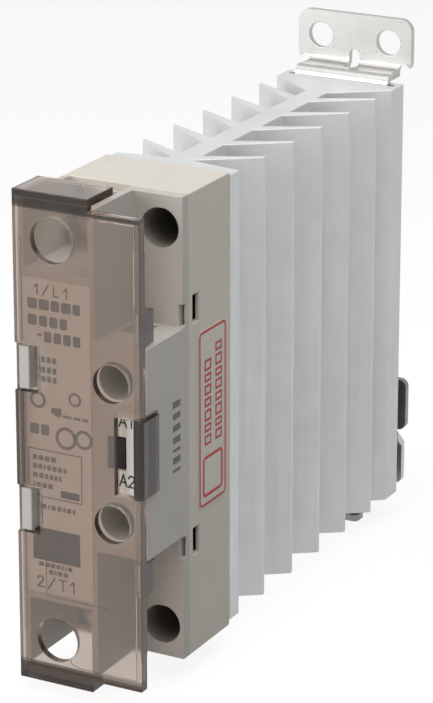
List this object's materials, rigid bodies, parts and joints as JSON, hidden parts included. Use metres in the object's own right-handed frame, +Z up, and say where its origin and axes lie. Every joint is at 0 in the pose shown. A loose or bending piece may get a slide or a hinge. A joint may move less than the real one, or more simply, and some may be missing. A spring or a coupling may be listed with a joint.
{
  "type": "solid state relay",
  "caption": "Slim relay module with a finned heat sink, hinged smoked terminal cover, screw terminals and a sprung DIN rail clip.",
  "frame": {"origin": "where the centre line of the 35 mm DIN rail meets the rail seat, on the device's centre plane", "axes": "+Z up as mounted, +Y from the cover towards the rail, +X to the right seen from the front"},
  "size_m": [0.0232, 0.0986, 0.0918],
  "materials": {
    "case_plastic": "fine matt moulded texture",
    "smoked_cover": "clear smoked brown polycarbonate, glossy",
    "label_print": "matt printed field",
    "label_red": "printed red outline on a clear matt label",
    "lens_dark": "dark glossy light pipe",
    "lamp_amber": "clear amber lamp",
    "tinned_brass": "tin plated brass",
    "plated_steel": "nickel plated steel",
    "board_green": "solder mask",
    "component_black": "moulded epoxy",
    "capacitor_film": "dipped film capacitor",
    "resistor_body": "lacquered body",
    "varistor_blue": "dipped disc",
    "ceramic_white": "alumina",
    "silicon_dark": "passivated silicon",
    "copper": "bare copper",
    "thermal_grey": "soft silicone sheet",
    "sink_aluminium": "matt anodised extrusion",
    "bracket_nickel": "bright nickel plated sheet",
    "slider_zinc": "greenish zinc plated sheet",
    "spring_steel": "spring wire"
  },
  "bodies": {
    "root": {"front_case": "case_plastic", "rear_case": "case_plastic", "front_label": "label_print", "side_label": "label_red", "indicator_lens": "lens_dark", "indicator_lamp": "lamp_amber", "line_terminal": "tinned_brass", "load_terminal": "tinned_brass", "input_terminal_a1": "tinned_brass", "input_terminal_a2": "tinned_brass", "circuit_board": "board_green", "photocoupler": "component_black", "input_driver": "component_black", "snubber_capacitor": "capacitor_film", "snubber_resistor": "resistor_body", "surge_varistor": "varistor_blue", "ceramic_substrate": "ceramic_white", "thyristor_chips": "silicon_dark", "heat_spreader": "copper", "thermal_sheet": "thermal_grey", "case_screws": "plated_steel", "heat_sink": "sink_aluminium", "din_bracket": "bracket_nickel", "bracket_rivets": "plated_steel", "din_spring": "spring_steel"},
    "cover": {"terminal_cover": "smoked_cover"},
    "slider": {"din_slider": "slider_zinc"},
    "line_washer_body": {"line_washer": "plated_steel"},
    "line_screw_body": {"line_screw": "plated_steel"},
    "load_washer_body": {"load_washer": "plated_steel"},
    "load_screw_body": {"load_screw": "plated_steel"},
    "input_a1_washer_body": {"input_washer_a1": "plated_steel"},
    "input_a1_screw_body": {"input_screw_a1": "plated_steel"},
    "input_a2_washer_body": {"input_washer_a2": "plated_steel"},
    "input_a2_screw_body": {"input_screw_a2": "plated_steel"}
  },
  "joints": [
    {"name": "cover_hinge", "type": "hinge", "parent": "root", "child": "cover", "pos_m": [-0.0107, -0.0951, 0.00135], "axis": [0, 0, -1], "range_deg": [0, 110]},
    {"name": "slider_release", "type": "slide", "parent": "root", "child": "slider", "axis": [0, 0, -1], "range_m": [0, 0.004], "stiffness_N_per_m": 500, "springref_m": -0.006, "deforming": ["din_spring"]},
    {"name": "line_washer_lift", "type": "slide", "parent": "root", "child": "line_washer_body", "axis": [0, -1, 0], "range_m": [0, 0.0035]},
    {"name": "line_screw_turn", "type": "hinge", "parent": "line_washer_body", "child": "line_screw_body", "pos_m": [-0.0044, -0.0819, 0.03455], "axis": [0, -1, 0], "range_deg": [0, 1800]},
    {"name": "load_washer_lift", "type": "slide", "parent": "root", "child": "load_washer_body", "axis": [0, -1, 0], "range_m": [0, 0.0035]},
    {"name": "load_screw_turn", "type": "hinge", "parent": "load_washer_body", "child": "load_screw_body", "pos_m": [-0.0044, -0.0819, -0.03185], "axis": [0, -1, 0], "range_deg": [0, 1800]},
    {"name": "input_a1_washer_lift", "type": "slide", "parent": "root", "child": "input_a1_washer_body", "axis": [0, -1, 0], "range_m": [0, 0.0024]},
    {"name": "input_a1_screw_turn", "type": "hinge", "parent": "input_a1_washer_body", "child": "input_a1_screw_body", "pos_m": [0.006, -0.0819, 0.01295], "axis": [0, -1, 0], "range_deg": [0, 1440]},
    {"name": "input_a2_washer_lift", "type": "slide", "parent": "root", "child": "input_a2_washer_body", "axis": [0, -1, 0], "range_m": [0, 0.0024]},
    {"name": "input_a2_screw_turn", "type": "hinge", "parent": "input_a2_washer_body", "child": "input_a2_screw_body", "pos_m": [0.006, -0.0819, -0.01025], "axis": [0, -1, 0], "range_deg": [0, 1440]}
  ],
  "couplings": [
    {"joint": "line_screw_turn", "follows": "line_washer_lift", "rad_per_m": 8976},
    {"joint": "load_screw_turn", "follows": "load_washer_lift", "rad_per_m": 8976},
    {"joint": "input_a1_screw_turn", "follows": "input_a1_washer_lift", "rad_per_m": 10472},
    {"joint": "input_a2_screw_turn", "follows": "input_a2_washer_lift", "rad_per_m": 10472}
  ]
}
